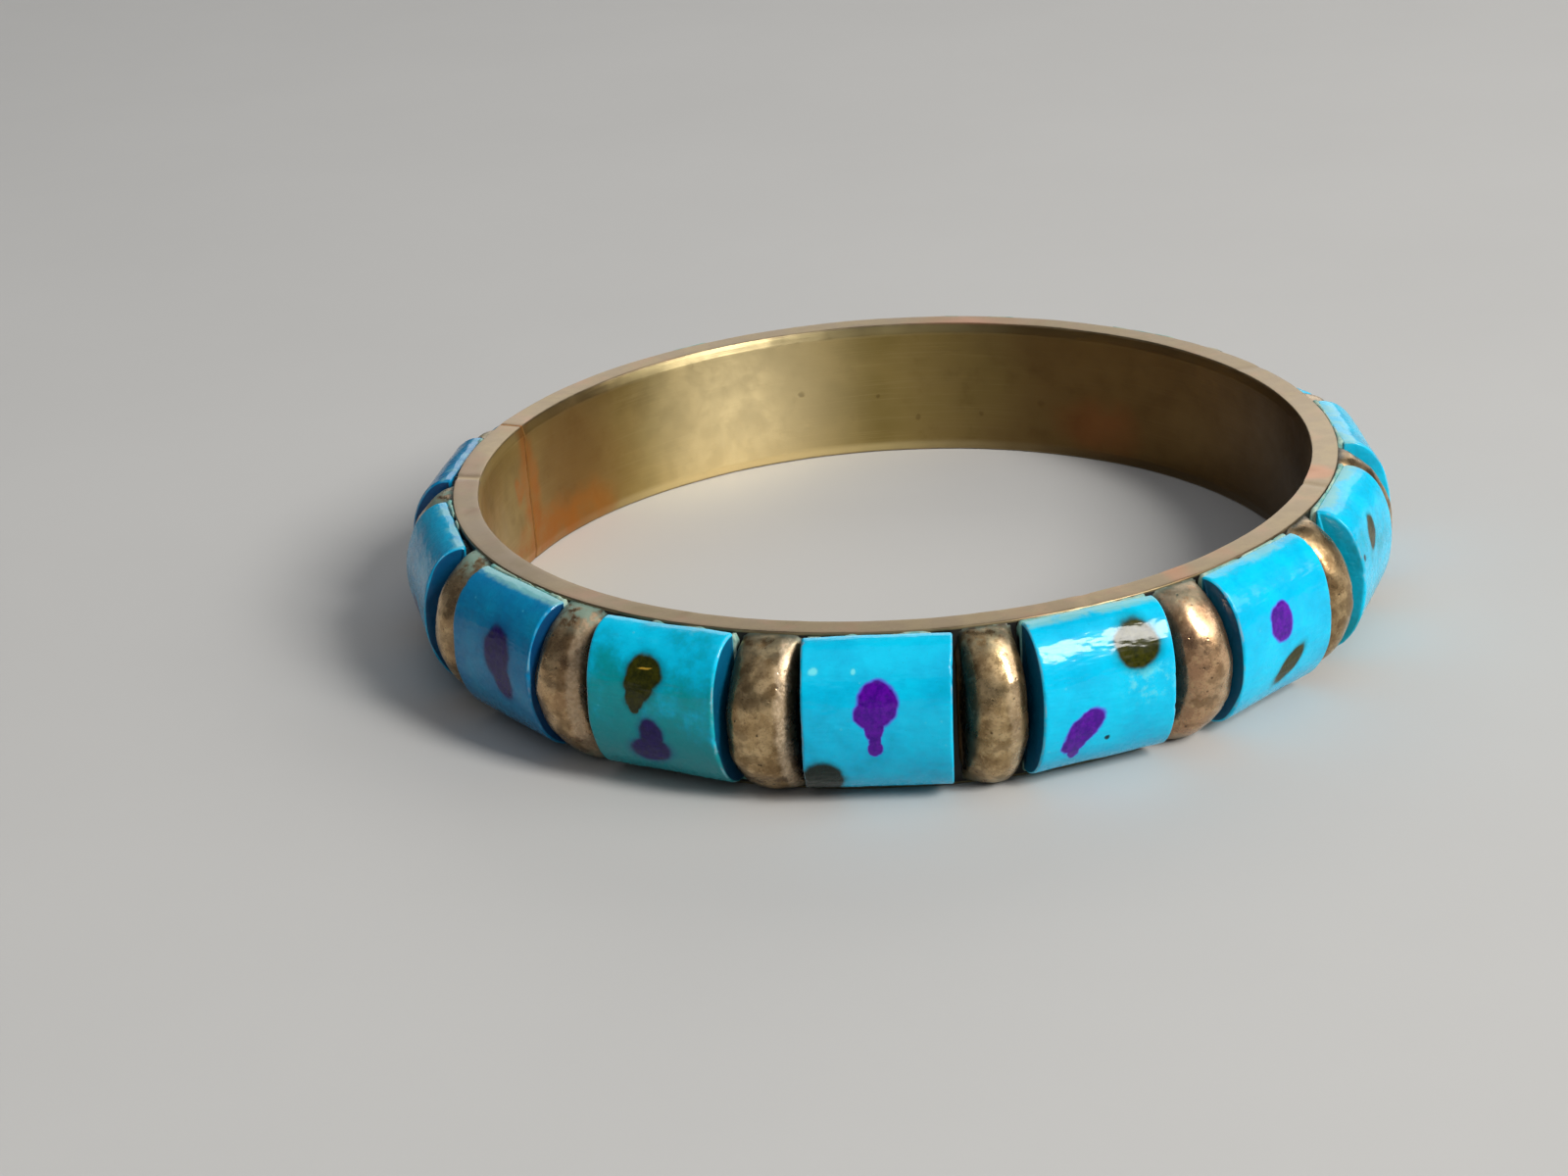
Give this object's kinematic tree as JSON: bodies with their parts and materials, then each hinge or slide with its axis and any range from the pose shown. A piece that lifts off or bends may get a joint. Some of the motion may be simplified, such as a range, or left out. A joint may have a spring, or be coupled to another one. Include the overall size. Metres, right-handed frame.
{
  "type": "bangle bracelet",
  "caption": "Rigid bangle bracelet: a flat brass band with dyed blue D-section tiles cemented round its outside and half-round cast brass spacers between them.",
  "frame": {"origin": "centre of the wrist opening at half the band's height", "axes": "+Z along the ring's axis, -Y through the middle of the first tile, tiles numbered towards +X"},
  "size_m": [0.076, 0.0757, 0.0116],
  "materials": {
    "band_brass": "worn satin brass, brushed inside",
    "spacer_brass": "tarnished cast brass, polished on the crests",
    "seam_solder": "dull coppery solder",
    "tile_blue": "glossy turquoise blue with dark spots",
    "cement": "matt pale green-white cement"
  },
  "bodies": {
    "root": {"band": "band_brass", "band_seam": "seam_solder", "spacer_solder": "seam_solder", "tile_01": "tile_blue", "tile_glue_01": "cement", "spacer_01": "spacer_brass", "tile_02": "tile_blue", "tile_glue_02": "cement", "spacer_02": "spacer_brass", "tile_03": "tile_blue", "tile_glue_03": "cement", "spacer_03": "spacer_brass", "tile_04": "tile_blue", "tile_glue_04": "cement", "spacer_04": "spacer_brass", "tile_05": "tile_blue", "tile_glue_05": "cement", "spacer_05": "spacer_brass", "tile_06": "tile_blue", "tile_glue_06": "cement", "spacer_06": "spacer_brass", "tile_07": "tile_blue", "tile_glue_07": "cement", "spacer_07": "spacer_brass", "tile_08": "tile_blue", "tile_glue_08": "cement", "spacer_08": "spacer_brass", "tile_09": "tile_blue", "tile_glue_09": "cement", "spacer_09": "spacer_brass", "tile_10": "tile_blue", "tile_glue_10": "cement", "spacer_10": "spacer_brass", "tile_11": "tile_blue", "tile_glue_11": "cement", "spacer_11": "spacer_brass", "tile_12": "tile_blue", "tile_glue_12": "cement", "spacer_12": "spacer_brass", "tile_13": "tile_blue", "tile_glue_13": "cement", "spacer_13": "spacer_brass", "tile_14": "tile_blue", "tile_glue_14": "cement", "spacer_14": "spacer_brass", "tile_15": "tile_blue", "tile_glue_15": "cement", "spacer_15": "spacer_brass"}
  },
  "joints": []
}
